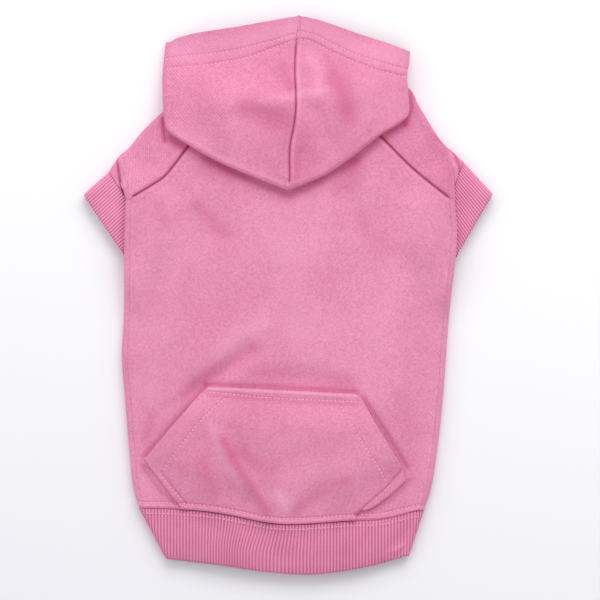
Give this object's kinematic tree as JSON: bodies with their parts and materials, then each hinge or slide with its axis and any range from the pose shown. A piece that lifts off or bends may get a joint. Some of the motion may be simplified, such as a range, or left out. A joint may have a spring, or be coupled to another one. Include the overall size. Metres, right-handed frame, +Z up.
{
  "type": "dog hoodie",
  "caption": "Plain dog hoodie lying flat back up: short raglan sleeves with ribbed cuffs, ribbed hem, two-piece hood and a pouch pocket.",
  "frame": {"origin": "on the surface that it lies on, under the middle of its box", "axes": "+Y toward the hood's peak, +X to the wearer's right as it lies back up, +Z up"},
  "size_m": [0.2948, 0.4012, 0.03],
  "materials": {
    "body_fleece": "soft brushed fleece",
    "hood_fleece": "soft brushed fleece",
    "pocket_fleece": "soft brushed fleece",
    "hem_rib": "one by one rib knit",
    "cuff_rib": "one by one rib knit"
  },
  "bodies": {
    "root": {"back_panel": "body_fleece", "belly_panel": "body_fleece", "sleeve_left": "body_fleece", "sleeve_right": "body_fleece", "cuff_left": "cuff_rib", "cuff_right": "cuff_rib", "hem_band": "hem_rib", "hood_left": "hood_fleece", "hood_right": "hood_fleece", "pocket": "pocket_fleece"}
  },
  "joints": []
}
